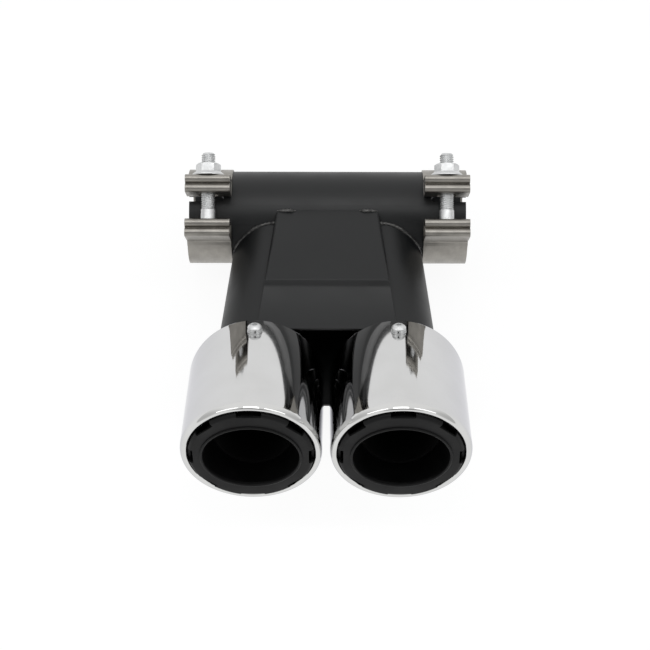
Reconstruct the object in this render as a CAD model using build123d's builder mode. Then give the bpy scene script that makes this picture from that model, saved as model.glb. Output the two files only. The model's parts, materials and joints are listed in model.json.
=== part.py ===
# Twin exhaust tip: a slotted cross pipe with two band clamps, two splayed branch pipes
# under a pressed cover plate, and two polished tips with notched black inserts.
# Millimetres, +Z up, mouths towards -Y, origin on the ground under the middle of the part.
import os
from math import atan2, cos, degrees, hypot, radians, sin, sqrt, tan

from build123d import *

# Cross pipe
pipe_od = 63.5
pipe_wall = 1.75
inlet_length = 33.2
slot_count = 4
slot_width = 4.0
slot_length = 24.0
slot_angle = 75.0

# Branch pipes
branch_od = 55.0
branch_wall = 1.5
branch_drop = 5.5
branch_offset = 35.3
branch_splay = 5.9
branch_bend_radius = 40.0
branch_reach = 62.0
saddle_start = 8.0
opening_start = 10.0

# Cover plates
plate_sheet = 2.0
tray_step = 3.5
tray_run = 5.5
tray_round = 2.0
tray_front = 80.3
plate_front = 112.6
plate_inset_front = 0.0
plate_inset_rear = 1.6
lower_plate_rear = 42.0
lower_plate_front = 136.4
plate_corner = 4.0

# Tips: straight tubes that rise towards their slant-cut mouths
tip_spacing = 94.0
tip_rear = 134.3
tip_drop = 7.0
tip_rise = 30.2
tip_length = 96.5
tip_rear_od = 91.0
tip_front_od = 89.2
tip_sheet = 1.2
slash_angle = 25.8
lip_width = 5.0
lip_roll = 2.2
lip_round = 1.9
lip_hem = 3.0

# Inserts in the mouths
insert_bore = 60.7
insert_wall = 1.5
nose_reach = 5.0
nose_rim = 1.8
nose_round = 0.8
face_fall = 1.1
shoulder_radius = 2.4
insert_flange = 1.6
notch_count = 8
notch_angle = 21.0
notch_depth = 3.2
notch_rear = 0.5
notch_taper = 12.0
sleeve_overlap = 18.0

# Carrier rings inside the tips, and the tip screws
ring_rear = 2.0
ring_length = 23.0
ring_hub = 10.0
ring_sheet = 1.5
screw_station = 17.0
screw_d = 5.0
screw_head_od = 9.5
screw_head_height = 2.75
screw_collar = 0.8
socket_flats = 3.0
socket_depth = 1.6
screw_tail = 2.0
flat_washer_od = 10.0
flat_washer_thick = 1.0
lock_washer_od = 9.2
lock_washer_thick = 1.3
lock_washer_split = 0.8
weld_nut_flats = 8.0
weld_nut_height = 4.0

# Band clamps
band_sheet = 1.3
band_width = 30.8
band_overhang = 1.5
gap_angle = 61.0
bead_radius = 3.0
bead_pitch = 6.5
bead_first = 12.0
ear_bend = 2.5
foot_angle = 5.0
bolt_d = 10.0
bolt_stand = 8.2
bolt_cover = 11.3
bolt_top = 37.6
bolt_chamfer = 1.2
mouth_cut = 13.0
mouth_shift = 3.5
head_length = 24.0
bar_round = 1.0
nut_flats = 15.0
nut_height = 8.8
nut_chamfer = 1.0
nut_flange_od = 23.0
nut_rim = 0.8
nut_flange = 2.8
nut_flange_slope = 50.0

# Clearances between pieces
weld_gap = 0.05
slip = 0.15
seat = 0.05
hole_play = 0.3

# Working sizes that follow from the dimensions above
pipe_r = pipe_od / 2
branch_r = branch_od / 2
pipe_length = 2 * (branch_offset + branch_r + inlet_length)
tip_rear_r = tip_rear_od / 2
tip_front_r = tip_front_od / 2
insert_r = insert_bore / 2
rise = radians(tip_rise)
slash = radians(slash_angle)
lean = rise - slash
lip_high = tip_front_r / cos(slash)
lip_in = tip_front_r - lip_width
lip_in_high = lip_high - lip_width
band_mid_r = pipe_r + seat + band_sheet / 2
band_outer_r = band_mid_r + band_sheet / 2
bolt_centre = band_outer_r + bolt_stand
ear_reach = bolt_centre + bolt_cover
clamp_middle = pipe_length / 2 + band_overhang - band_width / 2
mouth_reach = tip_rear + tip_length * cos(rise)
front_reach = mouth_reach + nose_reach * cos(lean) + (insert_r + nose_rim / 2) * sin(lean)
axis_y = (front_reach - band_outer_r) / 2
axis_z = tip_drop + tip_rear_r * cos(rise)
tip_x = tip_spacing / 2
crown_slope = (tip_front_r - tip_rear_r) / tip_length
splay_end = (tip_x - branch_offset) / tan(radians(branch_splay))
rise_start = tip_rear + (tip_drop - branch_drop) / tan(rise)


def across(x):
    """Plane square to the cross pipe's axis: local x runs back, local y runs up."""
    return Plane(origin=(x, axis_y, axis_z), x_dir=(0, 1, 0), z_dir=(1, 0, 0))


def tip_point(side, station, height=0.0):
    """Point at a distance along a tip's axis from its rear rim, and a height above that axis."""
    back = axis_y - tip_rear - station * cos(rise) + height * sin(rise)
    return (side * tip_x, back, axis_z - tip_drop + station * sin(rise) + height * cos(rise))


def tip_section(side, station):
    """Plane through a tip's axis: local x is the radius, local y runs forward."""
    return Plane(origin=tip_point(side, station), x_dir=(0, sin(rise), cos(rise)), z_dir=(1, 0, 0))


def tip_axis(side):
    """Axis of the round features on a tip."""
    return Axis(tip_point(side, 0), (0, -cos(rise), sin(rise)))


def mouth_plane(side):
    """Plane of a tip's slanted mouth, facing out: local x runs sideways, local y up."""
    return Plane(origin=tip_point(side, tip_length), x_dir=(1, 0, 0), z_dir=(0, -cos(lean), sin(lean)))


def screw_seat(side):
    """Plane on a tip's crown line at the screw, facing straight out of the sheet."""
    crown = tip_rear_r + crown_slope * screw_station
    flat = rise + atan2(crown_slope, 1)
    place = tip_point(side, screw_station, crown)
    return Plane(origin=place, x_dir=(1, 0, 0), z_dir=(0, sin(flat), cos(flat)))


def clamp_section(side):
    """Plane square to the cross pipe at a clamp's middle: x out through the gap, y to the nut."""
    gap = radians(gap_angle)
    centre = (side * clamp_middle, axis_y, axis_z)
    return Plane(origin=centre, x_dir=(0, -cos(gap), sin(gap)), z_dir=(-1, 0, 0))


def bolt_plane(side, height):
    """Plane square to a clamp bolt, at a height from the gap's middle towards the nut."""
    section = clamp_section(side)
    centre = section.origin + section.x_dir * bolt_centre + section.y_dir * height
    return Plane(origin=centre, x_dir=(1, 0, 0), z_dir=section.y_dir)


def save(part, name):
    """Label a finished piece and write it."""
    part.label = name
    export_step(part, f"parts/{name}.step")


def cross_pipe():
    """Straight tube with slotted ends and an opening to each branch pipe."""
    with BuildPart() as pipe:
        with BuildSketch(across(-pipe_length / 2)):
            Circle(pipe_r)
            Circle(pipe_r - pipe_wall, mode=Mode.SUBTRACT)
        extrude(amount=pipe_length)
        for side in (-1, 1):
            direction = (side * sin(radians(branch_splay)), -cos(radians(branch_splay)), 0)
            start = (side * branch_offset, axis_y, axis_z - branch_drop)
            mouth = Plane(origin=start, z_dir=direction).offset(opening_start)
            with BuildSketch(mouth):
                Circle(branch_r - branch_wall)
            extrude(amount=pipe_od, mode=Mode.SUBTRACT)
            for turn in range(slot_count):
                angle = radians(slot_angle + turn * 360 / slot_count)
                out = (0, -cos(angle), sin(angle))
                end = (side * pipe_length / 2, axis_y, axis_z)
                with BuildSketch(Plane(origin=end, x_dir=(1, 0, 0), z_dir=out)):
                    SlotOverall(2 * slot_length, slot_width)
                extrude(amount=pipe_od, mode=Mode.SUBTRACT)
    return pipe.part


def branch_pipe(side):
    """Tube that leaves the cross pipe at a saddle, splays out, runs straight, then rises into its tip."""
    height = axis_z - branch_drop
    start = branch_offset + saddle_start * tan(radians(branch_splay))
    root = (side * start, axis_y - saddle_start, height)
    splay = (side * tip_x, axis_y - splay_end, height)
    bend = (side * tip_x, axis_y - rise_start, height)
    tail = tip_point(side, branch_reach)
    # Both bends share the straight run between them, which limits their radius
    bend_limit = (rise_start - splay_end) / (tan(radians(branch_splay / 2)) + tan(rise / 2))
    with BuildPart() as pipe:
        with BuildLine() as route:
            FilletPolyline(root, splay, bend, tail, radius=min(branch_bend_radius, 0.99 * bend_limit))
        with BuildSketch(Plane(origin=root, z_dir=Vector(*splay) - Vector(*root))):
            Circle(branch_r)
            Circle(branch_r - branch_wall, mode=Mode.SUBTRACT)
        sweep(path=route.line)
        with BuildSketch(across(0)):
            Circle(pipe_r + weld_gap)
        extrude(amount=pipe_length, both=True, mode=Mode.SUBTRACT)
    return pipe.part


def plate_half_width(station):
    """Half width of a cover plate, a little inside the branch pipes' crown lines."""
    share = station / plate_front
    inset = plate_inset_rear + (plate_inset_front - plate_inset_rear) * share
    reach = min(station, splay_end)
    return branch_offset + reach * tan(radians(branch_splay)) - inset


def plate_outline(rear, front, shrink=0.0):
    """Corners of the trapezoid between two stations ahead of the cross pipe's axis."""
    near = plate_half_width(rear) - shrink
    far = plate_half_width(front) - shrink
    back = axis_y - rear
    ahead = axis_y - front + shrink
    return [(-far, ahead), (far, ahead), (near, back), (-near, back)]


def plate_block(profile, outline):
    """Solid with a given side profile, trimmed to a given outline seen from above."""
    with BuildPart() as block:
        with BuildSketch(across(0)):
            Polygon(*profile, align=None)
        extrude(amount=tip_spacing, both=True)
        with BuildSketch(Plane.XY):
            Polygon(*outline, align=None)
        extrude(amount=2 * axis_z, mode=Mode.INTERSECT)
    return block.part


def upper_cover_plate():
    """Pressed plate on the branch pipes' crowns: raised rear tray, sloping step, flat front panel."""
    level = branch_r - branch_drop + weld_gap
    top = level + tray_step + plate_sheet
    crest = tray_front - tray_run
    tuck = plate_sheet * tan(atan2(tray_step, tray_run) / 2)
    outside = [(0, level), (-plate_front, level), (-plate_front, level + plate_sheet)]
    outside += [(-tray_front, level + plate_sheet), (-crest, top), (0, top)]
    inside = [(0, level), (-tray_front + tuck, level)]
    inside += [(-crest + tuck, level + tray_step), (0, level + tray_step)]
    with BuildPart() as plate:
        add(plate_block(outside, plate_outline(0, plate_front)))
        fillet(plate.edges().group_by(Axis.Z)[-1], tray_round)
        add(plate_block(inside, plate_outline(0, tray_front, plate_sheet)), mode=Mode.SUBTRACT)
        with BuildSketch(across(0)):
            Circle(pipe_r + weld_gap)
        extrude(amount=pipe_length, both=True, mode=Mode.SUBTRACT)
    return plate.part


def lower_cover_plate():
    """Flat plate across the undersides of the branch pipes, reaching forward between the tips."""
    level = axis_z - branch_drop - branch_r - weld_gap - plate_sheet
    with BuildPart() as plate:
        with BuildSketch(Plane.XY.offset(level)):
            Polygon(*plate_outline(lower_plate_rear, lower_plate_front), align=None)
        extrude(amount=plate_sheet)
        fillet(plate.edges().filter_by(Axis.Z), plate_corner)
    return plate.part


def tip_shell(side):
    """Polished sheet tube with a slant-cut oval mouth, a rounded lip turned inward and a screw hole."""
    overrun = tip_length + lip_high
    end_r = tip_rear_r + crown_slope * overrun
    with BuildPart() as shell:
        with BuildSketch(tip_section(side, 0)):
            Polygon(
                (tip_rear_r - tip_sheet, 0),
                (tip_rear_r, 0),
                (end_r, overrun),
                (end_r - tip_sheet, overrun),
                align=None,
            )
        revolve(axis=tip_axis(side))
        split(bisect_by=mouth_plane(side), keep=Keep.BOTTOM)
        # Lip round the mouth, with a hem turned back along the insert
        with BuildSketch(mouth_plane(side)):
            Ellipse(tip_front_r, lip_high)
            Ellipse(lip_in, lip_in_high, mode=Mode.SUBTRACT)
        extrude(amount=lip_roll)
        outward = Axis(mouth_plane(side).origin, mouth_plane(side).z_dir)
        fillet(shell.faces().sort_by(outward)[-1].edges(), lip_round)
        with BuildSketch(mouth_plane(side)):
            Ellipse(lip_in + tip_sheet, lip_in_high + tip_sheet)
            Ellipse(lip_in, lip_in_high, mode=Mode.SUBTRACT)
        extrude(amount=-lip_hem)
        with BuildSketch(screw_seat(side)):
            Circle(screw_d / 2 + hole_play)
        extrude(amount=tip_rear_r / 2, both=True, mode=Mode.SUBTRACT)
    return shell.part


def tip_insert(side):
    """Black oval ring that stands out through the lip, notched round its flank, on a round sleeve."""
    wide = lip_in - slip
    high = lip_in_high - slip
    flank_end = lip_hem + seat
    flange_end = flank_end + insert_flange
    flange_wide = tip_front_r - tip_sheet - flange_end * tan(slash) / 2 - slip
    flange_high = (tip_front_r - tip_sheet) / cos(slash) - flange_end * tan(slash) - 3 * slip
    face = nose_reach - face_fall
    rim_r = insert_r + nose_rim
    sleeve_r = branch_r + slip
    mouth = mouth_plane(side)
    outward = Axis(mouth.origin, mouth.z_dir)
    with BuildPart() as insert:
        # Flank and face
        with BuildSketch(mouth.offset(-flange_end)):
            Ellipse(wide, high)
        extrude(amount=flange_end + face)
        fillet(insert.faces().sort_by(outward)[-1].edges(), shoulder_radius)
        with BuildSketch(mouth.offset(-flange_end)):
            Ellipse(flange_wide, flange_high)
        extrude(amount=insert_flange)
        with BuildSketch(mouth.offset(-flange_end)):
            Ellipse(wide - insert_wall, high - insert_wall)
        extrude(amount=flange_end + face - insert_wall, mode=Mode.SUBTRACT)
        # Round nose that stands proud of the face
        with BuildSketch(mouth.offset(face - insert_wall)):
            Circle(rim_r)
        extrude(amount=insert_wall + face_fall)
        with BuildSketch(mouth.offset(face - insert_wall)):
            Circle(insert_r)
        extrude(amount=insert_wall + face_fall, mode=Mode.SUBTRACT)
        fillet(insert.faces().sort_by(outward)[-1].edges(), nose_round)
        # Sleeve from the branch pipe's end to the back of the face
        run = tip_length - branch_reach
        flare = (rim_r - sleeve_r) / run
        spare = run + lip_high
        with BuildPart(mode=Mode.PRIVATE) as sleeve:
            with BuildSketch(tip_section(side, branch_reach)):
                Polygon(
                    (sleeve_r, -sleeve_overlap),
                    (sleeve_r + insert_wall, -sleeve_overlap),
                    (sleeve_r + insert_wall, 0),
                    (sleeve_r + insert_wall + flare * spare, spare),
                    (sleeve_r + flare * spare, spare),
                    (sleeve_r, 0),
                    align=None,
                )
            revolve(axis=tip_axis(side))
            split(bisect_by=mouth.offset(face - insert_wall / 2), keep=Keep.BOTTOM)
        add(sleeve.part)
        # Notches through the flank, narrower towards the middle
        with BuildSketch(mouth.offset(-notch_rear)):
            for turn in range(notch_count):
                angle = 90 + turn * 360 / notch_count
                flank = wide * high / hypot(high * cos(radians(angle)), wide * sin(radians(angle)))
                outer = flank * tan(radians(notch_angle / 2))
                inner = outer - notch_depth * tan(radians(notch_taper))
                with PolarLocations(0, 1, start_angle=angle):
                    Polygon(
                        (flank - notch_depth, -inner),
                        (flank + notch_depth, -outer),
                        (flank + notch_depth, outer),
                        (flank - notch_depth, inner),
                        align=None,
                    )
        extrude(amount=notch_rear + nose_reach, mode=Mode.SUBTRACT)
    return insert.part


def ring_outer(station):
    """Radius of a carrier ring's rim, a slip fit inside the conical tip."""
    return tip_rear_r + crown_slope * station - tip_sheet - slip


def carrier_ring(side):
    """Pressed ring between a branch pipe and the rear of its tip: rim, web, and a hub on the pipe."""
    hub_r = branch_r + slip
    front = ring_rear + ring_length
    web = front - ring_sheet
    with BuildPart() as ring:
        with BuildSketch(tip_section(side, 0)):
            Polygon(
                (ring_outer(ring_rear), ring_rear),
                (ring_outer(front), front),
                (hub_r + ring_sheet, front),
                (hub_r + ring_sheet, web + ring_hub),
                (hub_r, web + ring_hub),
                (hub_r, web),
                (ring_outer(web) - ring_sheet, web),
                (ring_outer(ring_rear) - ring_sheet, ring_rear),
                align=None,
            )
        revolve(axis=tip_axis(side))
        with BuildSketch(screw_seat(side)):
            Circle(screw_d / 2 + hole_play)
        extrude(amount=-(tip_rear_r - branch_r) / 2, mode=Mode.SUBTRACT)
    return ring.part


def nut_drop():
    """Depth of a weld nut's top below the tip's skin: its corners touch inside the round rim."""
    rim = ring_outer(screw_station) - ring_sheet
    corner = weld_nut_flats / 2 / cos(radians(30))
    return tip_rear_r + crown_slope * screw_station - sqrt(rim**2 - corner**2) + seat


def weld_nut(side):
    """Hexagon nut under the carrier ring's rim, bored for the tip screw."""
    with BuildPart() as nut:
        with BuildSketch(screw_seat(side).offset(-nut_drop())):
            RegularPolygon(weld_nut_flats / 2, 6, major_radius=False)
            Circle(screw_d / 2 + seat, mode=Mode.SUBTRACT)
        extrude(amount=-weld_nut_height)
    return nut.part


def flat_washer(side):
    """Plain washer on the tip's crown line."""
    with BuildPart() as washer:
        with BuildSketch(screw_seat(side).offset(seat)):
            Circle(flat_washer_od / 2)
            Circle(screw_d / 2 + hole_play, mode=Mode.SUBTRACT)
        extrude(amount=flat_washer_thick)
    return washer.part


def lock_washer(side):
    """Split spring washer, pressed flat on the plain washer."""
    level = 2 * seat + flat_washer_thick
    with BuildPart() as washer:
        with BuildSketch(screw_seat(side).offset(level)):
            Circle(lock_washer_od / 2)
            Circle(screw_d / 2 + hole_play, mode=Mode.SUBTRACT)
            with Locations((0, -lock_washer_od / 4 - screw_d / 4)):
                Rectangle(lock_washer_split, lock_washer_od / 2, rotation=-20 * side, mode=Mode.SUBTRACT)
        extrude(amount=lock_washer_thick)
    return washer.part


def tip_screw(side):
    """Button-head screw with a hexagon socket, down through the tip into the weld nut."""
    head = 3 * seat + flat_washer_thick + lock_washer_thick
    tail = nut_drop() + weld_nut_height + screw_tail
    head_r = screw_head_od / 2
    base = screw_seat(side)
    with BuildPart() as screw:
        profile = Plane(origin=base.origin, x_dir=base.x_dir, z_dir=-base.y_dir)
        with BuildSketch(profile):
            with BuildLine():
                Polyline(
                    (0, -tail),
                    (screw_d / 2, -tail),
                    (screw_d / 2, head),
                    (head_r, head),
                    (head_r, head + screw_collar),
                )
                ThreePointArc(
                    (head_r, head + screw_collar),
                    (head_r * 0.8, head + screw_collar + (screw_head_height - screw_collar) * 0.6),
                    (head_r / 2, head + screw_head_height),
                )
                Line((head_r / 2, head + screw_head_height), (0, head + screw_head_height))
                Line((0, head + screw_head_height), (0, -tail))
            make_face()
        revolve(axis=Axis(base.origin, base.z_dir))
        with BuildSketch(base.offset(head + screw_head_height)):
            RegularPolygon(socket_flats / 2, 6, major_radius=False)
        extrude(amount=-socket_depth, mode=Mode.SUBTRACT)
    return screw.part


def ear_side(sign, shift):
    """One skin of a folded ear, shifted from the sheet's middle towards the gap."""
    nose = bead_radius - band_sheet / 2
    flange = bead_first - nose
    leg = bead_first + bead_pitch + nose
    out = ear_reach - bead_radius
    root = sqrt((band_mid_r + ear_bend) ** 2 - (flange + ear_bend) ** 2)
    start = atan2(flange + ear_bend, root)
    foot_r = band_mid_r + band_sheet + seat
    toe = sqrt((foot_r + ear_bend) ** 2 - (leg + ear_bend) ** 2)
    heel = atan2(leg + ear_bend, toe)
    # Bend up from the band, then the flange beside the gap
    bend_r = ear_bend + shift
    turn = (start - radians(90)) / 2 - radians(90)
    ThreePointArc(
        ((band_mid_r - shift) * cos(start), sign * (band_mid_r - shift) * sin(start)),
        (root + bend_r * cos(turn), sign * (flange + ear_bend + bend_r * sin(turn))),
        (root, sign * (flange - shift)),
    )
    Line((root, sign * (flange - shift)), (out, sign * (flange - shift)))
    # First bead, valley, second bead
    nose_r = nose + shift
    valley_r = bead_pitch / 2 - nose_r
    second = bead_first + bead_pitch
    ThreePointArc(
        (out, sign * (bead_first - nose_r)),
        (out + nose_r, sign * bead_first),
        (out, sign * (bead_first + nose_r)),
    )
    ThreePointArc(
        (out, sign * (bead_first + nose_r)),
        (out - valley_r, sign * (bead_first + bead_pitch / 2)),
        (out, sign * (second - nose_r)),
    )
    ThreePointArc(
        (out, sign * (second - nose_r)),
        (out + nose_r, sign * second),
        (out, sign * (second + nose_r)),
    )
    # Leg back down to a foot that lies on the band
    Line((out, sign * (leg + shift)), (toe, sign * (leg + shift)))
    heel_r = ear_bend - shift
    swing = (heel - radians(90)) / 2 - radians(90)
    ThreePointArc(
        (toe, sign * (leg + shift)),
        (toe + heel_r * cos(swing), sign * (leg + ear_bend + heel_r * sin(swing))),
        ((foot_r + shift) * cos(heel), sign * (foot_r + shift) * sin(heel)),
    )
    foot = CenterArc((0, 0), foot_r + shift, sign * degrees(heel), sign * foot_angle)
    return degrees(start), foot @ 1


def clamp_band(side):
    """Steel strip wrapped round the pipe end, both ends folded into two-bead ears for the bolt."""
    half = band_sheet / 2
    with BuildPart() as band:
        with BuildSketch(clamp_section(side)):
            with BuildLine():
                for sign in (-1, 1):
                    start, inner_end = ear_side(sign, half)
                    start, outer_end = ear_side(sign, -half)
                    Line(inner_end, outer_end)
                CenterArc((0, 0), band_mid_r - half, start, 360 - 2 * start)
                CenterArc((0, 0), band_mid_r + half, start, 360 - 2 * start)
            make_face()
        extrude(amount=band_width / 2, both=True)
        # Bolt hole from inside the lower ear up through the upper one
        with BuildSketch(bolt_plane(side, -bead_first)):
            Circle(bolt_d / 2 + hole_play)
        extrude(amount=2 * ear_reach, mode=Mode.SUBTRACT)
        # Wider rounded cuts where the bolt leaves one ear and enters the other
        with BuildSketch(bolt_plane(side, 0)):
            with Locations((0, mouth_shift)):
                Circle(mouth_cut / 2)
        extrude(amount=bead_first, both=True, mode=Mode.SUBTRACT)
    return band.part


def ear_block(side, sign, length):
    """Bar that fills the loop of an ear behind its beads."""
    nose = bead_radius - band_sheet / 2
    near = bead_first - nose + band_sheet / 2 + seat
    far = bead_first + bead_pitch + nose - band_sheet / 2 - seat
    valley_floor = ear_reach - bead_radius - bead_pitch / 2 + nose - band_sheet / 2
    top = valley_floor - seat
    bottom = 2 * bolt_centre - top
    with BuildPart() as block:
        with BuildSketch(clamp_section(side)):
            with Locations(((top + bottom) / 2, sign * (near + far) / 2)):
                Rectangle(top - bottom, far - near)
        extrude(amount=length / 2, both=True)
        fillet(block.edges().filter_by(Axis.X), bar_round)
    return block.part


def clamp_bar(side):
    """Reaction bar inside the upper ear, drilled for the bolt."""
    with BuildPart() as bar:
        add(ear_block(side, 1, band_width))
        with BuildSketch(bolt_plane(side, 0)):
            Circle(bolt_d / 2 + hole_play)
        extrude(amount=2 * ear_reach, mode=Mode.SUBTRACT)
    return bar.part


def clamp_bolt(side):
    """T-headed bolt: the cross head lies in the lower ear, the shank passes out through the nut."""
    with BuildPart() as bolt:
        add(ear_block(side, -1, head_length))
        with BuildSketch(bolt_plane(side, -bead_first)):
            Circle(bolt_d / 2)
        extrude(amount=bead_first + bolt_top)
        upwards = Axis(bolt_plane(side, 0).origin, bolt_plane(side, 0).z_dir)
        chamfer(bolt.faces().sort_by(upwards)[-1].edges(), bolt_chamfer)
    return bolt.part


def clamp_nut(side):
    """Hexagon nut with a conical flange, on the upper ear's leg."""
    level = bead_first + bead_pitch + bead_radius + seat
    with BuildPart() as nut:
        with BuildSketch(bolt_plane(side, level)):
            RegularPolygon(nut_flats / 2, 6, major_radius=False)
        extrude(amount=nut_height)
        # Rounded crown on the hexagon's corners
        corner = nut_flats / 2 / cos(radians(30))
        base = bolt_plane(side, level)
        with BuildSketch(Plane(origin=base.origin, x_dir=base.x_dir, z_dir=-base.y_dir)):
            Polygon(
                (0, 0),
                (corner, 0),
                (corner, nut_height - nut_chamfer),
                (nut_flats / 2 - nut_chamfer / 2, nut_height),
                (0, nut_height),
                align=None,
            )
        revolve(axis=Axis(base.origin, base.z_dir), mode=Mode.INTERSECT)
        with BuildSketch(bolt_plane(side, level)):
            Circle(nut_flange_od / 2)
        extrude(amount=nut_rim)
        with BuildSketch(bolt_plane(side, level + nut_rim)):
            Circle(nut_flange_od / 2)
        extrude(amount=nut_flange - nut_rim, taper=nut_flange_slope)
        with BuildSketch(bolt_plane(side, level)):
            Circle(bolt_d / 2 + seat)
        extrude(amount=nut_height, mode=Mode.SUBTRACT)
    return nut.part


os.makedirs("parts", exist_ok=True)
save(cross_pipe(), "cross_pipe")
save(upper_cover_plate(), "upper_cover_plate")
save(lower_cover_plate(), "lower_cover_plate")
pairs = {
    "branch_pipe": branch_pipe,
    "tip_shell": tip_shell,
    "tip_insert": tip_insert,
    "carrier_ring": carrier_ring,
    "weld_nut": weld_nut,
    "flat_washer": flat_washer,
    "lock_washer": lock_washer,
    "tip_screw": tip_screw,
    "clamp_band": clamp_band,
    "clamp_bar": clamp_bar,
    "clamp_bolt": clamp_bolt,
    "clamp_nut": clamp_nut,
}
for name, make in pairs.items():
    save(make(-1), f"left_{name}")
    save(make(1), f"right_{name}")
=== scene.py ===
# %% [markdown]
# # A twin exhaust tip, dressed in Blender
# The solids come from the CAD model and set every place and size. This script gives them
# their finishes: satin black paint, mirror polish, rolled clamp steel and bright zinc. Where
# the solid is too plain (threads, weld beads, rolled edges) a new piece stands in for it.

# %% Load the solids
import json
from math import cos, degrees, pi, radians, sin, sqrt, tan

import bmesh
import bpy
from mathutils import Matrix, Vector


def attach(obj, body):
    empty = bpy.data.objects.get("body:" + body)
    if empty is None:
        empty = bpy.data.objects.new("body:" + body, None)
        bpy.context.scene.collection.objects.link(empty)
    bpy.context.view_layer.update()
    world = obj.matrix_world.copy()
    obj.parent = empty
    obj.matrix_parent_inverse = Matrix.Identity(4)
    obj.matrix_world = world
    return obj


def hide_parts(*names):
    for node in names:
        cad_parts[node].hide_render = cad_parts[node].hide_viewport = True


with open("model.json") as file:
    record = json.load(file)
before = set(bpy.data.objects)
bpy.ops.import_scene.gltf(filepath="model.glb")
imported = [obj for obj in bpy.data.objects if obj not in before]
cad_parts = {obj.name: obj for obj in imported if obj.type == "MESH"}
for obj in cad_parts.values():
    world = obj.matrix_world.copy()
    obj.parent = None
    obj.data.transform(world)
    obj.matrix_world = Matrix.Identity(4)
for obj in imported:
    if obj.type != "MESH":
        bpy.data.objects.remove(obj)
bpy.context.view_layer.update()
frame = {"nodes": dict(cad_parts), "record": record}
mm = 0.001

# %% [markdown]
# The main places are repeated here in metres, as the CAD model has them. The cross pipe's axis
# runs along X and the branch pipes run forward from it, towards -Y. The tips rise 30 degrees
# against the pipes, and their mouths are cut on a slant, so that they face almost straight ahead.

# %% Places and sizes
axis_y, axis_z = 95.993 * mm, 46.325 * mm
pipe_r = 31.75 * mm
branch_r, branch_drop = 27.5 * mm, 5.5 * mm
branch_offset, splay = 35.3 * mm, radians(5.9)
tip_x, tip_rear, tip_drop = 47.0 * mm, 134.3 * mm, 7.0 * mm
tip_length, rise, slash = 96.5 * mm, radians(30.2), radians(25.8)
lean = rise - slash
tip_ahead = Vector((0, -cos(rise), sin(rise)))
tip_up = Vector((0, sin(rise), cos(rise)))
mouth_ahead = Vector((0, -cos(lean), sin(lean)))
mouth_up = Vector((0, sin(lean), cos(lean)))
print("tips rise", round(degrees(rise), 1), "degrees, mouths look", round(degrees(lean), 1), "up")

# %% [markdown]
# The photograph looks down at the mouths from the front, with a long lens. The camera stands a
# hair to the right of the part's middle plane. A small shift and roll place the part in the
# frame, which is 650 pixels wide, so the lens is given by its focal length in those pixels.

# %% Camera
frame_px = 650
focal_px, shift_px = 1849.5, -2.1
lift, swing, roll = radians(55.645), radians(0.411), radians(-0.201)
reach = 1260.4 * mm
aim = Vector((0, axis_y - 93.16 * mm, axis_z))
scene = bpy.context.scene
camera_data = bpy.data.cameras.new("camera")
camera = bpy.data.objects.new("camera", camera_data)
scene.collection.objects.link(camera)
sight = Vector((sin(swing) * cos(lift), -cos(swing) * cos(lift), sin(lift)))
camera.location = aim + reach * sight
look = (aim - camera.location).to_track_quat("-Z", "Y").to_matrix()
camera.rotation_euler = (look @ Matrix.Rotation(roll, 3, "Z")).to_euler()
camera_data.sensor_width = 36
camera_data.lens = focal_px / frame_px * camera_data.sensor_width
camera_data.shift_x = shift_px / frame_px
camera_data.clip_start = 0.01
scene.camera = camera
print("camera at", [round(v, 3) for v in camera.location], "lens", round(camera_data.lens, 2))

# %% [markdown]
# The stage is a white floor under soft light. The camera sees a plain white surround, and the
# light that falls on the part is lower, so the paint stays black. Mirror-like surfaces see the
# white surround too, but a room is dimmer round the camera and at both sides, and that lets
# metal show its form. The dim patches are soft, and are found from the direction of the ray.

# %% Node helpers


def link(tree, source, target):
    """Join two sockets in a node tree."""
    tree.links.new(source, target)


def math_node(tree, operation, first, second):
    """A Math node on two inputs, each a socket or a number."""
    node = tree.nodes.new("ShaderNodeMath")
    node.operation = operation
    for socket, value in zip(node.inputs, (first, second)):
        if isinstance(value, (int, float)):
            socket.default_value = value
        else:
            link(tree, value, socket)
    return node.outputs[0]


def fade(tree, value, start, end, most):
    """A smooth step from 0 to a greatest value, between two limits."""
    step = tree.nodes.new("ShaderNodeMapRange")
    step.interpolation_type = "SMOOTHSTEP"
    step.inputs["From Min"].default_value = start
    step.inputs["From Max"].default_value = end
    step.inputs["To Max"].default_value = most
    link(tree, value, step.inputs["Value"])
    return step.outputs["Result"]


print("node helpers ready")

# %% Surround
fill_strength, fill_tint = 0.40, (0.97, 0.985, 1.0, 1)
plain_tint = (1, 1, 1, 1)
dim_lift, dim_edge, dim_core = radians(47), radians(36), radians(8)
front_loss, side_loss, side_start = 0.75, 0.40, 0.55
scene.view_settings.view_transform = "Standard"
world = bpy.data.worlds.new("surround")
scene.world = world
world.use_nodes = True
tree = world.node_tree
tree.nodes.clear()
rays = tree.nodes.new("ShaderNodeLightPath")
ray = tree.nodes.new("ShaderNodeTexCoord").outputs["Generated"]
front = tree.nodes.new("ShaderNodeVectorMath")
front.operation = "DOT_PRODUCT"
front.inputs[1].default_value = (0, -cos(dim_lift), sin(dim_lift))
link(tree, ray, front.inputs[0])
sides = tree.nodes.new("ShaderNodeSeparateXYZ")
link(tree, ray, sides.inputs["Vector"])
aside = math_node(tree, "ABSOLUTE", sides.outputs["X"], 0)
dim_front = fade(tree, front.outputs["Value"], cos(dim_edge), cos(dim_core), front_loss)
dim_sides = fade(tree, aside, side_start, 1.0, side_loss)
bright = math_node(tree, "SUBTRACT", math_node(tree, "SUBTRACT", 1, dim_front), dim_sides)
soft_fill = tree.nodes.new("ShaderNodeBackground")
soft_fill.inputs["Color"].default_value = fill_tint
soft_fill.inputs["Strength"].default_value = fill_strength
mirrored = tree.nodes.new("ShaderNodeBackground")
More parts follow.
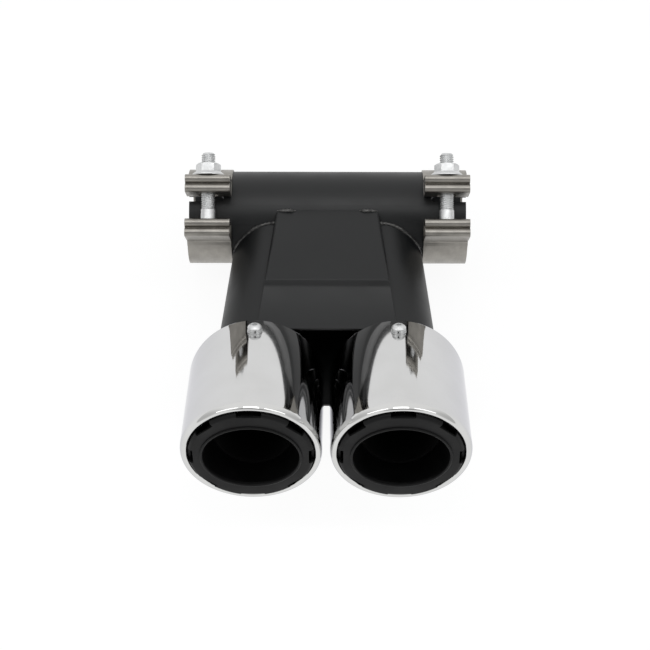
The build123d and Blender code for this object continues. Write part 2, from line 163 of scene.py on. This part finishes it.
link(tree, bright, mirrored.inputs["Strength"])
plain_white = tree.nodes.new("ShaderNodeBackground")
for white in (mirrored, plain_white):
    white.inputs["Color"].default_value = plain_tint
pick_mirror = tree.nodes.new("ShaderNodeMixShader")
pick_camera = tree.nodes.new("ShaderNodeMixShader")
world_out = tree.nodes.new("ShaderNodeOutputWorld")
polish = math_node(tree, "MAXIMUM", rays.outputs["Is Glossy Ray"], rays.outputs["Is Transmission Ray"])
link(tree, polish, pick_mirror.inputs[0])
link(tree, soft_fill.outputs[0], pick_mirror.inputs[1])
link(tree, mirrored.outputs[0], pick_mirror.inputs[2])
link(tree, rays.outputs["Is Camera Ray"], pick_camera.inputs[0])
link(tree, pick_mirror.outputs[0], pick_camera.inputs[1])
link(tree, plain_white.outputs[0], pick_camera.inputs[2])
link(tree, pick_camera.outputs[0], world_out.inputs["Surface"])
print("surround ready:", len(tree.nodes), "nodes")

# %% [markdown]
# The floor is matt white paper. On its own it would look grey in this light, so the camera and
# mirrors also see it glow. The matt share of the mix is what shows the part's soft shadow.

# %% Floor
floor_half, floor_drop = 4.0, 0.2 * mm
paper_tone = (0.86, 0.86, 0.86, 1)
glow_strength, glow_share = 1.14, 0.80
floor_mesh = bmesh.new()
bmesh.ops.create_grid(floor_mesh, x_segments=1, y_segments=1, size=floor_half)
floor_data = bpy.data.meshes.new("floor")
floor_mesh.to_mesh(floor_data)
floor_mesh.free()
floor = bpy.data.objects.new("floor", floor_data)
floor.location.z = -floor_drop
scene.collection.objects.link(floor)

paper = bpy.data.materials.new("floor_paper")
paper.use_nodes = True
tree = paper.node_tree
tree.nodes.clear()
rays = tree.nodes.new("ShaderNodeLightPath")
matt = tree.nodes.new("ShaderNodeBsdfDiffuse")
matt.inputs["Color"].default_value = paper_tone
glow = tree.nodes.new("ShaderNodeEmission")
glow.inputs["Color"].default_value = plain_tint
glow.inputs["Strength"].default_value = glow_strength
seen = math_node(tree, "MAXIMUM", rays.outputs["Is Camera Ray"], rays.outputs["Is Glossy Ray"])
pick = tree.nodes.new("ShaderNodeMixShader")
paper_out = tree.nodes.new("ShaderNodeOutputMaterial")
link(tree, math_node(tree, "MULTIPLY", seen, glow_share), pick.inputs[0])
link(tree, matt.outputs[0], pick.inputs[1])
link(tree, glow.outputs[0], pick.inputs[2])
link(tree, pick.outputs[0], paper_out.inputs["Surface"])
floor_data.materials.append(paper)
print("white floor ready")

# %% [markdown]
# A soft box hangs almost overhead and two narrow ones stand beside it. On the rolled lips they
# show as three short dashes, and on the cross pipe as one soft band along its front.

# %% Lamps
lamp_distance, box_depth = 1.3, 0.80
over_width, over_power = 0.56, 2.35
side_width, side_power = 0.15, 1.1


def soft_box(name, direction, width, power):
    """A rectangular area lamp that faces the part."""
    data = bpy.data.lights.new(name, "AREA")
    data.shape = "RECTANGLE"
    data.size = width
    data.size_y = box_depth
    data.energy = power
    lamp = bpy.data.objects.new(name, data)
    lamp.location = aim + lamp_distance * Vector(direction).normalized()
    lamp.rotation_euler = (aim - lamp.location).to_track_quat("-Z", "Y").to_euler()
    scene.collection.objects.link(lamp)


soft_box("box_over", (0.0, -0.05, 1.0), over_width, over_power)
soft_box("box_left", (-0.60, -0.12, 0.79), side_width, side_power)
soft_box("box_right", (0.60, -0.12, 0.79), side_width, side_power)

# %% [markdown]
# Every finish is made of nodes that read Object coordinates, so the grain keeps its size on
# every piece. One helper starts a finish with its Principled shader. The others add noise, turn
# noise into a colour or a roughness between two limits, and make fine relief from it.

# %% Finish helpers
noise_low, noise_high, noise_rough = 0.3, 0.7, 0.55


def start_finish(name, metallic):
    """A new material with its Principled shader, and the Object coordinates it reads."""
    finish = bpy.data.materials.new(name)
    finish.use_nodes = True
    tree = finish.node_tree
    shader = tree.nodes["Principled BSDF"]
    shader.inputs["Metallic"].default_value = metallic
    place = tree.nodes.new("ShaderNodeTexCoord")
    return finish, tree, shader, place.outputs["Object"]


def noise(tree, place, grain, detail, stretch=(1, 1, 1)):
    """Noise whose blobs are about grain metres across, stretched by a Mapping node."""
    mapping = tree.nodes.new("ShaderNodeMapping")
    mapping.inputs["Scale"].default_value = stretch
    texture = tree.nodes.new("ShaderNodeTexNoise")
    texture.inputs["Scale"].default_value = 1.0 / grain
    texture.inputs["Detail"].default_value = detail
    texture.inputs["Roughness"].default_value = noise_rough
    link(tree, place, mapping.inputs["Vector"])
    link(tree, mapping.outputs["Vector"], texture.inputs["Vector"])
    return texture.outputs["Fac"]


def tones(tree, value, dark, light):
    """A colour between two tones."""
    ramp = tree.nodes.new("ShaderNodeValToRGB")
    ramp.color_ramp.elements[0].position = noise_low
    ramp.color_ramp.elements[1].position = noise_high
    ramp.color_ramp.elements[0].color = (*dark, 1)
    ramp.color_ramp.elements[1].color = (*light, 1)
    link(tree, value, ramp.inputs["Fac"])
    return ramp.outputs["Color"]


def span(tree, value, low, high):
    """A number between two limits."""
    limits = tree.nodes.new("ShaderNodeMapRange")
    limits.inputs["From Min"].default_value = noise_low
    limits.inputs["From Max"].default_value = noise_high
    limits.inputs["To Min"].default_value = low
    limits.inputs["To Max"].default_value = high
    link(tree, value, limits.inputs["Value"])
    return limits.outputs["Result"]


def relief(tree, shader, value, depth, strength):
    """Fine surface relief from a value, through a Bump node."""
    bump = tree.nodes.new("ShaderNodeBump")
    bump.inputs["Strength"].default_value = strength
    bump.inputs["Distance"].default_value = depth
    link(tree, value, bump.inputs["Height"])
    link(tree, bump.outputs["Normal"], shader.inputs["Normal"])


print("finish helpers ready")

# %% [markdown]
# The pipes and plates are sprayed satin black. Such paint is never one tone: it has a fine
# orange-peel skin and slow changes of gloss. Inside the tips, ahead of the plates, a ramp along Y
# makes the pipe ends near-black and rough. This is painted shade for the dark bores.

# %% Satin black paint
bore_shade_start, bore_shade_end, bore_shade_tone, bore_shade_rough = -58 * mm, -72 * mm, 0.0016, 0.95
black_paint, tree, shader, place = start_finish("black_paint", 0.0)
cloud = noise(tree, place, 22 * mm, detail=5)
peel = noise(tree, place, 0.55 * mm, detail=2)
split = tree.nodes.new("ShaderNodeSeparateXYZ")
link(tree, place, split.inputs["Vector"])
# Painted shade: a ramp along Y makes the pipe ends inside the bores near-black and rough.
bore_shade = tree.nodes.new("ShaderNodeMapRange")
bore_shade.inputs["From Min"].default_value = bore_shade_start
bore_shade.inputs["From Max"].default_value = bore_shade_end
link(tree, split.outputs["Y"], bore_shade.inputs["Value"])
paint_and_shade = tree.nodes.new("ShaderNodeMix")
paint_and_shade.data_type = "RGBA"
link(tree, bore_shade.outputs["Result"], paint_and_shade.inputs["Factor"])
paint_tone = tones(tree, cloud, (0.0062, 0.0068, 0.0073), (0.0095, 0.0102, 0.0107))
link(tree, paint_tone, paint_and_shade.inputs["A"])
paint_and_shade.inputs["B"].default_value = (bore_shade_tone, bore_shade_tone, bore_shade_tone, 1)
link(tree, paint_and_shade.outputs["Result"], shader.inputs["Base Color"])
gloss = tree.nodes.new("ShaderNodeMix")
link(tree, bore_shade.outputs["Result"], gloss.inputs["Factor"])
link(tree, span(tree, cloud, 0.38, 0.48), gloss.inputs["A"])
gloss.inputs["B"].default_value = bore_shade_rough
link(tree, gloss.outputs["Result"], shader.inputs["Roughness"])
shader.inputs["Specular IOR Level"].default_value = 0.38
relief(tree, shader, peel, 0.05 * mm, 0.10)
print("made", black_paint.name)

# %% [markdown]
# The ring inside each mouth is matt black, drier than the pipes, with a coarser sprayed grain.

# %% Matt black insert
matt_black, tree, shader, place = start_finish("matt_black", 0.0)
cloud = noise(tree, place, 12 * mm, detail=5)
spray = noise(tree, place, 0.4 * mm, detail=2)
dry_tone = tones(tree, cloud, (0.0045, 0.0045, 0.0047), (0.0070, 0.0070, 0.0072))
link(tree, dry_tone, shader.inputs["Base Color"])
link(tree, span(tree, cloud, 0.46, 0.58), shader.inputs["Roughness"])
shader.inputs["Specular IOR Level"].default_value = 0.18
relief(tree, shader, spray, 0.04 * mm, 0.12)
print("made", matt_black.name)

# %% [markdown]
# The tips are polished on a turning mop, which leaves faint rings round the axis. The noise is
# squeezed along Y so that its streaks run round the tip, and it only breathes on the gloss.

# %% Mirror polish
mirror_steel, tree, shader, place = start_finish("mirror_steel", 1.0)
rings = noise(tree, place, 6 * mm, stretch=(0.4, 14, 0.4), detail=3)
haze = noise(tree, place, 30 * mm, detail=3)
bright_tone = tones(tree, haze, (0.640, 0.640, 0.630), (0.675, 0.676, 0.668))
link(tree, bright_tone, shader.inputs["Base Color"])
link(tree, span(tree, rings, 0.035, 0.075), shader.inputs["Roughness"])
shader.inputs["Specular Tint"].default_value = (0.80, 0.80, 0.83, 1)
relief(tree, shader, haze, 0.05 * mm, 0.02)
print("made", mirror_steel.name)

# %% [markdown]
# The band clamps are bent from rolled strip. Its rolling lines run along the strip, round the
# pipe, so the noise is squeezed along X. Slow blotches stand for handling marks.

# %% Rolled clamp steel
strip_steel, tree, shader, place = start_finish("strip_steel", 1.0)
lines = noise(tree, place, 4 * mm, stretch=(10, 0.35, 0.35), detail=4)
blotch = noise(tree, place, 9 * mm, detail=5)
strip_tone = tones(tree, blotch, (0.265, 0.253, 0.232), (0.350, 0.334, 0.306))
link(tree, strip_tone, shader.inputs["Base Color"])
link(tree, span(tree, lines, 0.30, 0.44), shader.inputs["Roughness"])
relief(tree, shader, lines, 0.03 * mm, 0.10)
print("made", strip_steel.name)

# %% [markdown]
# Bolts, nuts, screws and washers are bright zinc: paler than the strip, with small spangles in
# the plating that shift its gloss from grain to grain.

# %% Bright zinc
spangle_size = 0.9 * mm
zinc, tree, shader, place = start_finish("zinc", 1.0)
spangle = tree.nodes.new("ShaderNodeTexVoronoi")
spangle.inputs["Scale"].default_value = 1 / spangle_size
link(tree, place, spangle.inputs["Vector"])
grey = tree.nodes.new("ShaderNodeRGBToBW")
link(tree, spangle.outputs["Color"], grey.inputs["Color"])
film = noise(tree, place, 3 * mm, detail=2)
zinc_tone = tones(tree, film, (0.63, 0.637, 0.64), (0.73, 0.736, 0.736))
link(tree, zinc_tone, shader.inputs["Base Color"])
link(tree, span(tree, grey.outputs["Val"], 0.42, 0.52), shader.inputs["Roughness"])
relief(tree, shader, film, 0.02 * mm, 0.05)
print("made", zinc.name)

# %% [markdown]
# Each solid takes the finish of its material slot. The table below joins the record's slots to
# the finishes made above, and every node is painted from it.

# %% Paint the solids
finishes = {
    "black_paint": black_paint,
    "black_insert": matt_black,
    "polished_steel": mirror_steel,
    "clamp_steel": strip_steel,
    "zinc_plate": zinc,
}
slot_of = {row["node"]: row["material_slot"] for row in frame["record"]["subparts"]}
for node, solid in frame["nodes"].items():
    solid.data.materials.clear()
    solid.data.materials.append(finishes[slot_of[node]])
print("painted", len(slot_of), "solids")

# %% [markdown]
# New pieces all end the same way: the bmesh becomes a mesh at the origin, gets smooth shading
# with sharp corners kept, takes a finish, and rides on the one body.

# %% Finish a new piece
crease, flat = 35, 1
weld_distance = 0.002 * mm


def settle(name, bm, slot, sharp=crease):
    """Turn a bmesh into a piece of the part."""
    bmesh.ops.recalc_face_normals(bm, faces=bm.faces)
    mesh = bpy.data.meshes.new(name)
    bm.to_mesh(mesh)
    bm.free()
    mesh.shade_smooth()
    mesh.set_sharp_from_angle(angle=radians(sharp))
    mesh.materials.append(finishes[slot])
    piece = bpy.data.objects.new(name, mesh)
    scene.collection.objects.link(piece)
    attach(piece, "root")
    return piece


def round_edges(piece, width):
    """Break a piece's sharp edges with a Bevel modifier."""
    bevel = piece.modifiers.new("broken_edges", "BEVEL")
    bevel.width = width
    bevel.segments = 2
    bevel.profile = 0.5
    bevel.limit_method = "ANGLE"
    bevel.angle_limit = radians(crease)
    bevel.harden_normals = True


def solid_copy(node):
    """A bmesh copy of a solid with its triangles joined up into plain faces."""
    bm = bmesh.new()
    bm.from_mesh(frame["nodes"][node].data)
    bmesh.ops.remove_doubles(bm, verts=bm.verts, dist=weld_distance)
    bmesh.ops.dissolve_limit(bm, angle_limit=radians(flat), verts=bm.verts, edges=bm.edges)
    return bm


print("piece helpers ready")

# %% [markdown]
# A tip is a sheet tube with a rolled lip. Its wall is drawn once, as a line from the rear rim
# forward, over the lip and back, and spun round the axis. The rear rim is square to the axis
# and the mouth is slanted, so each ring is sheared by its share of the way to the mouth, and
# the lip's rings follow the oval of the mouth. The lip starts to roll a little behind the mouth's
# plane, so its outer rings are also set back along the tube, and light falls on a soft curve.

# %% Tip shells
wall = 1.2 * mm
rear_r, front_r = 45.5 * mm, 44.6 * mm
lip_in, lip_roll, hem = front_r - 5.0 * mm, 2.2 * mm, 3.0 * mm
lip_set = 2.6 * mm
rim_break, rim_row, last_share = 0.1 * mm, 0.5 * mm, 0.965
wall_rows, lip_rows, hollow_rows, tip_steps, tip_crease = 12, 24, 8, 160, 50
lip_mid = (front_r + lip_in) / 2
lip_high = front_r / cos(slash)


def tip_profile():
    """Radius, distance ahead of the rear rim, share of the slant and set-back for each point."""
    rows = [(rear_r - wall, 0.0, 0.0, 0.0), (rear_r - rim_break, 0.0, 0.0, 0.0)]
    for ahead in (rim_break, rim_row):
        rows.append((rear_r, ahead, ahead / tip_length, 0.0))
    # Outer wall
    for share in [step / wall_rows for step in range(1, wall_rows)] + [last_share]:
        rows.append((rear_r + (front_r - rear_r) * share, tip_length * share, share, 0.0))
    # Over the lip and down its inner side
    for step in range(lip_rows + 1):
        turn = pi * step / lip_rows
        back = lip_set * (1 - sin(turn)) if 2 * step < lip_rows else 0.0
        radius = lip_mid + (front_r - lip_mid) * cos(turn)
        rows.append((radius, tip_length + lip_roll * sin(turn), 1.0, back))
    rows.append((lip_in, tip_length - hem, 1.0, 0.0))
    rows.append((lip_in + wall, tip_length - hem, 1.0, 0.0))
    # Back through the hollow of the lip, then along the inner wall
    inner = lip_mid - lip_in - wall
    for step in range(1, hollow_rows):
        turn = pi - pi * step / hollow_rows
        ahead = tip_length + (lip_roll - wall) * sin(turn)
        rows.append((lip_mid + inner * cos(turn), ahead, 1.0, 0.0))
    for step in range(wall_rows, 0, -1):
        share = step / wall_rows
        rows.append((rear_r - wall + (front_r - rear_r) * share, tip_length * share, share, 0.0))
    return rows


def tip_place(side, point, share, back):
    """Where a point of the spun wall belongs on a tip: on the tube, or on the oval mouth."""
    rear = Vector((side * tip_x, axis_y - tip_rear, axis_z - tip_drop))
    radius, ahead = sqrt(point.x ** 2 + point.z ** 2), -point.y
    if share < 1:
        along = ahead + share * point.z * tan(slash)
        return rear + Vector((point.x, 0, 0)) + tip_ahead * along + tip_up * point.z
    high = (lip_high - front_r + radius) * point.z / radius
    centre = rear + tip_ahead * (tip_length - back)
    return centre + Vector((point.x, 0, 0)) + mouth_up * high + mouth_ahead * (ahead - tip_length)


for side, name in ((-1, "left"), (1, "right")):
    bm = bmesh.new()
    shares = bm.verts.layers.float.new("slant")
    backs = bm.verts.layers.float.new("set_back")
    loop = []
    for radius, ahead, share, back in tip_profile():
        vert = bm.verts.new((0, -ahead, radius))
        vert[shares] = share
        vert[backs] = back
        loop.append(vert)
    for a, b in zip(loop, loop[1:] + loop[:1]):
        bm.edges.new((a, b))
    bmesh.ops.spin(bm, geom=bm.verts[:] + bm.edges[:], cent=(0, 0, 0), axis=(0, 1, 0),
                   angle=2 * pi, steps=tip_steps, use_merge=True)
    for vert in bm.verts:
        vert.co = tip_place(side, vert.co, vert[shares], vert[backs])
    for layer in ("slant", "set_back"):
        bm.verts.layers.float.remove(bm.verts.layers.float[layer])
    shell = settle(f"{name}_polished_tip", bm, "polished_steel", sharp=tip_crease)
    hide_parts(f"{name}_tip_shell")
    print(shell.name, len(shell.data.polygons), "faces")

# %% [markdown]
# Pressed and machined pieces have broken edges that catch a line of light. A copy of each
# solid, with its triangles joined into plain faces, gets a narrow bevel and stands in for it.

# %% Broken edges
edge_widths = {
    "cross_pipe": 0.2 * mm,
    "upper_cover_plate": 0.4 * mm,
    "lower_cover_plate": 0.3 * mm,
    "tip_insert": 0.2 * mm,
    "clamp_band": 0.25 * mm,
    "clamp_nut": 0.3 * mm,
    "clamp_bar": 0.3 * mm,
}
for base, width in edge_widths.items():
    for node in (base, f"left_{base}", f"right_{base}"):
        if node in slot_of:
            piece = settle(f"{node}_edged", solid_copy(node), slot_of[node])
            round_edges(piece, width)
            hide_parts(node)
            print(piece.name, len(piece.data.polygons), "faces")

# %% [markdown]
# A clamp bolt has a cross head that lies in the lower ear, a plain neck, and a rolled thread up
# to its end. A thread is one ridge carried up a helix: the ridge's outline is spun with a rise
# per step, the turns are merged, and both ends are trimmed flat. The plain solid has no thread,
# so this bolt, drawn upright and then set in place, stands in for it.

# %% Clamp bolts
clamp_x, bolt_out, gap_tilt = 82.1 * mm, 41.3 * mm, radians(61)
bolt_end, neck_end, neck_start = 37.6 * mm, -1.5 * mm, -12.0 * mm
head_low, head_high = -20.15 * mm, -10.35 * mm
head_long, head_deep = 24.0 * mm, 13.4 * mm
pitch, neck_r, crest_r, root_r = 1.5 * mm, 5.0 * mm, 4.8 * mm, 4.1 * mm
turn_steps, neck_sides = 24, 48
end_chamfer, shoulder_round, head_round = 1.2 * mm, 0.4 * mm, 1.0 * mm
ridge = [(root_r, 0.0), (root_r, 0.1), (crest_r, 0.42), (crest_r, 0.58), (root_r, 0.9), (root_r, 1.0)]
bolt_out_way = Vector((0, -cos(gap_tilt), sin(gap_tilt)))
bolt_up_way = Vector((0, sin(gap_tilt), cos(gap_tilt)))


def thread(bm, low, high):
    """A rolled thread: one ridge's outline, spun up a helix and trimmed at both ends."""
    verts = [bm.verts.new((radius, 0, low + (share - 1) * pitch)) for radius, share in ridge]
    edges = [bm.edges.new(ends) for ends in zip(verts, verts[1:])]
    turns = int((high - low) / pitch) + 2
    climb = (0, 0, pitch / turn_steps)
    bmesh.ops.spin(bm, geom=verts + edges, cent=(0, 0, 0), axis=(0, 0, 1), dvec=climb,
                   angle=2 * pi * turns, steps=turns * turn_steps)
    bmesh.ops.remove_doubles(bm, verts=bm.verts, dist=0.01 * mm)
    for level, way in ((low, -1), (high, 1)):
        whole = bm.verts[:] + bm.edges[:] + bm.faces[:]
        trim = bmesh.ops.bisect_plane(bm, geom=whole, dist=1e-7, plane_co=(0, 0, level),
                                      plane_no=(0, 0, way), clear_outer=True)
        rim = [e for e in trim["geom_cut"] if isinstance(e, bmesh.types.BMEdge)]
        bmesh.ops.edgeloop_fill(bm, edges=rim)
    # Chamfer the free end
    for vert in bm.verts:
        radius = sqrt(vert.co.x ** 2 + vert.co.y ** 2)
        limit = crest_r - max(0.0, vert.co.z - high + end_chamfer)
        if radius > limit:
            vert.co.x *= limit / radius
            vert.co.y *= limit / radius


def edges_of(verts, above):
    """The edges at some vertices that lie wholly above a level, in a fixed order."""
    found = {}
    for vert in verts:
        for edge in vert.link_edges:
            if min(end.co.z for end in edge.verts) > above:
                found[edge] = True
    return list(found)


def soften(bm, edges, width, segments):
    """Round some edges of a bmesh."""
    bmesh.ops.bevel(bm, geom=edges, offset=width, affect="EDGES", segments=segments,
                    profile=0.5, material=-1)


for side, name in ((-1, "left"), (1, "right")):
    bm = bmesh.new()
    thread(bm, neck_end, bolt_end)
    middle = Matrix.Translation((0, 0, (neck_start + neck_end) / 2))
    neck = bmesh.ops.create_cone(bm, cap_ends=True, segments=neck_sides, radius1=neck_r,
                                 radius2=neck_r, depth=neck_end - neck_start, matrix=middle)
    soften(bm, edges_of(neck["verts"], neck_end - 0.001 * mm), shoulder_round, 2)
    stretch = Matrix.Diagonal((head_long, head_deep, head_high - head_low, 1))
    block = Matrix.Translation((0, 0, (head_low + head_high) / 2)) @ stretch
    head = bmesh.ops.create_cube(bm, size=1, matrix=block)
    soften(bm, edges_of(head["verts"], head_low - 1 * mm), head_round, 3)
    upright = Matrix((Vector((1, 0, 0)), -bolt_out_way, bolt_up_way)).transposed().to_4x4()
    seat = Vector((side * clamp_x, axis_y, axis_z)) + bolt_out_way * bolt_out
    bmesh.ops.transform(bm, matrix=Matrix.Translation(seat) @ upright, verts=bm.verts)
    bolt = settle(f"{name}_threaded_bolt", bm, "zinc_plate")
    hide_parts(f"{name}_clamp_bolt")
    print(bolt.name, len(bolt.data.polygons), "faces")

# %% [markdown]
# A weld bead has a thin skin of scale and thin paint, so it is part metal, rough, and changes
# from dark to light every few millimetres.

# %% Weld skin
weld_skin, tree, shader, place = start_finish("weld_skin", 0.5)
scale = noise(tree, place, 2.5 * mm, detail=4)
scale_tone = tones(tree, scale, (0.012, 0.012, 0.012), (0.130, 0.128, 0.124))
link(tree, scale_tone, shader.inputs["Base Color"])
link(tree, span(tree, scale, 0.45, 0.28), shader.inputs["Roughness"])
relief(tree, shader, scale, 0.15 * mm, 0.4)
print("made", weld_skin.name)

# %% [markdown]
# The branch pipes are welded to the cross pipe round the saddle, and the cover plate is tacked
# to it at its rear corners. A bead is a round curve whose thickness ripples from point to
# point, made a mesh. The saddle's line is where the two tubes meet: at each angle round the
# branch pipe, the distance ahead follows from the cross pipe's circle.

# %% Weld beads
end_size, end_growth = 0.3, 0.2
ripple, ripple_step = 0.16, 2.2
swell, swell_step = 0.18, 0.37
bead_crease = 60


def weld_bead(name, points, width):
    """A rippled weld bead along a line of points, thinner at both ends."""
    line = bpy.data.curves.new(name, "CURVE")
    line.dimensions = "3D"
    line.bevel_depth = width / 2
    line.bevel_resolution = 3
    line.use_fill_caps = True
    run = line.splines.new("POLY")
    run.points.add(len(points) - 1)
    for index, (knot, point) in enumerate(zip(run.points, points)):
        knot.co = (*point, 1)
        from_end = min(index, len(points) - 1 - index)
        taper = min(1, end_size + end_growth * from_end)
        knot.radius = taper * (1 + ripple * sin(ripple_step * index) + swell * sin(swell_step * index))
    holder = bpy.data.objects.new(name, line)
    mesh = bpy.data.meshes.new_from_object(holder)
    bpy.data.objects.remove(holder)
    bm = bmesh.new()
    bm.from_mesh(mesh)
    bpy.data.meshes.remove(mesh)
    bmesh.ops.remove_doubles(bm, verts=bm.verts, dist=0.001 * mm)
    bead = settle(name, bm, "black_paint", sharp=bead_crease)
    bead.data.materials[0] = weld_skin
    print(name, len(points), "points,", len(bead.data.polygons), "faces")


def saddle_point(side, angle):
    """Where a branch pipe's skin meets the cross pipe, at an angle outward from its crown line."""
    level = branch_r * cos(angle) - branch_drop
    aside = branch_r * sin(angle)
    ahead = (sqrt(pipe_r ** 2 - level ** 2) + aside * sin(splay)) / cos(splay)
    across = branch_offset + ahead * sin(splay) + aside * cos(splay)
    return side * across, axis_y - ahead * cos(splay) + aside * sin(splay), axis_z + level


saddle_half, saddle_steps, saddle_width = 145, 150, 2.6 * mm
tack_start, tack_length, tack_steps, tack_width = 22 * mm, 13 * mm, 14, 2.4 * mm
plate_rise, tack_lead = 5.5 * mm, 0.4 * mm
plate_top = branch_r - branch_drop + plate_rise
tack_back = axis_y - sqrt(pipe_r ** 2 - plate_top ** 2) - tack_lead
for side, name in ((-1, "left"), (1, "right")):
    saddle = []
    for step in range(saddle_steps + 1):
        angle = radians(saddle_half * (2 * step / saddle_steps - 1))
        saddle.append(saddle_point(side, angle))
    weld_bead(f"{name}_saddle_weld", saddle, saddle_width)
    tack = []
    for step in range(tack_steps + 1):
        across = side * (tack_start + tack_length * step / tack_steps)
        tack.append((across, tack_back, axis_z + plate_top))
    weld_bead(f"{name}_plate_tack", tack, tack_width)
